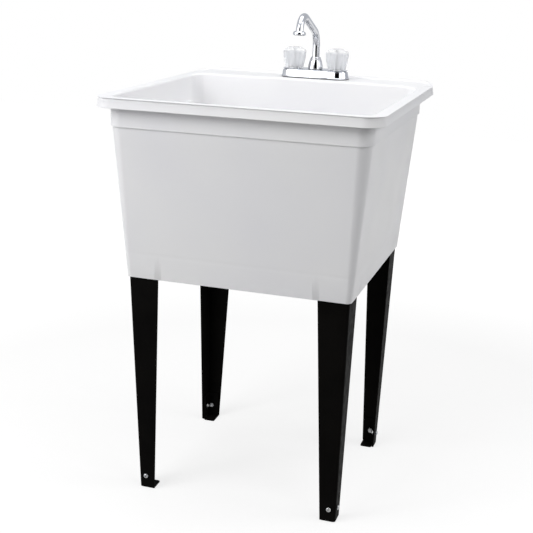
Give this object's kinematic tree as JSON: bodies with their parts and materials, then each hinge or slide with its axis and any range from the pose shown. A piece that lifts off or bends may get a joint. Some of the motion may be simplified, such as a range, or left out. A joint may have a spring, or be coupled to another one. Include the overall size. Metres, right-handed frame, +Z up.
{
  "type": "utility laundry sink",
  "caption": "Free-standing moulded laundry tub on tapered steel angle legs with levelling feet, a centreset tap with a swivel spout and fluted knobs, and a basket drain.",
  "frame": {"origin": "on the floor, under the middle of the tub's rim", "axes": "+Z up, +Y towards the back where the tap stands, +X to the right seen from the front"},
  "size_m": [0.581, 0.6, 1.0247],
  "materials": {
    "tub_plastic": "white moulded polypropylene, satin",
    "leg_paint": "black baked enamel on folded steel",
    "zinc": "bright zinc plate",
    "chrome": "polished chrome plate",
    "brass": "turned and cast brass",
    "clear_acrylic": "clear cast acrylic, polished",
    "rubber": "black moulded rubber",
    "fitting_plastic": "light grey moulded plumbing plastic",
    "red_plastic": "red insert",
    "blue_plastic": "blue insert"
  },
  "bodies": {
    "sink": {"tub": "tub_plastic", "leg_front_left": "leg_paint", "leg_front_right": "leg_paint", "leg_back_left": "leg_paint", "leg_back_right": "leg_paint", "foot_screw_front_left_face": "zinc", "foot_screw_front_left_side": "zinc", "foot_screw_front_right_face": "zinc", "foot_screw_front_right_side": "zinc", "foot_screw_back_left_face": "zinc", "foot_screw_back_left_side": "zinc", "foot_screw_back_right_face": "zinc", "foot_screw_back_right_side": "zinc", "foot_nut_front_left_face": "zinc", "foot_nut_front_left_side": "zinc", "foot_nut_front_right_face": "zinc", "foot_nut_front_right_side": "zinc", "foot_nut_back_left_face": "zinc", "foot_nut_back_left_side": "zinc", "foot_nut_back_right_face": "zinc", "foot_nut_back_right_side": "zinc", "tap_gasket": "rubber", "tap_body": "brass", "tap_cover": "chrome", "spout_hub_nut": "chrome", "hot_mounting_nut": "fitting_plastic", "cold_mounting_nut": "fitting_plastic", "hot_cartridge": "fitting_plastic", "cold_cartridge": "fitting_plastic", "hot_bonnet_nut": "chrome", "cold_bonnet_nut": "chrome", "spout_o_ring": "rubber", "drain_strainer": "fitting_plastic", "drain_gasket": "rubber", "drain_friction_ring": "fitting_plastic", "drain_lock_nut": "fitting_plastic", "slip_washer": "fitting_plastic", "drain_tailpiece": "fitting_plastic", "slip_nut": "fitting_plastic"},
    "swing_spout": {"spout": "chrome", "nozzle_collar": "chrome", "nozzle_flow_insert": "fitting_plastic"},
    "hot_valve": {"hot_stem": "chrome", "hot_knob": "clear_acrylic", "hot_knob_screw": "zinc", "hot_index_cap": "red_plastic"},
    "cold_valve": {"cold_stem": "chrome", "cold_knob": "clear_acrylic", "cold_knob_screw": "zinc", "cold_index_cap": "blue_plastic"},
    "stopper": {"drain_stopper": "rubber"},
    "front_left_foot": {"foot_front_left": "leg_paint"},
    "front_right_foot": {"foot_front_right": "leg_paint"},
    "back_left_foot": {"foot_back_left": "leg_paint"},
    "back_right_foot": {"foot_back_right": "leg_paint"}
  },
  "joints": [
    {"name": "spout_swivel", "type": "hinge", "parent": "sink", "child": "swing_spout", "pos_m": [0.016, 0.24, 0.9], "axis": [0, 0, 1], "continuous": true},
    {"name": "hot_turn", "type": "hinge", "parent": "sink", "child": "hot_valve", "pos_m": [-0.0348, 0.24, 0.9], "axis": [0, 0, 1], "range_deg": [0, 90]},
    {"name": "cold_turn", "type": "hinge", "parent": "sink", "child": "cold_valve", "pos_m": [0.0668, 0.24, 0.9], "axis": [0, 0, 1], "range_deg": [-90, 0]},
    {"name": "stopper_lift", "type": "slide", "parent": "sink", "child": "stopper", "axis": [0, 0, 1], "range_m": [0, 0.08]},
    {"name": "foot_front_left_slide", "type": "slide", "parent": "sink", "child": "front_left_foot", "axis": [0.0229, 0.0502, -0.9985], "range_m": [0, 0.02]},
    {"name": "foot_front_right_slide", "type": "slide", "parent": "sink", "child": "front_right_foot", "axis": [-0.0229, 0.0502, -0.9985], "range_m": [0, 0.02]},
    {"name": "foot_back_left_slide", "type": "slide", "parent": "sink", "child": "back_left_foot", "axis": [0.0229, -0.0502, -0.9985], "range_m": [0, 0.02]},
    {"name": "foot_back_right_slide", "type": "slide", "parent": "sink", "child": "back_right_foot", "axis": [-0.0229, -0.0502, -0.9985], "range_m": [0, 0.02]}
  ]
}
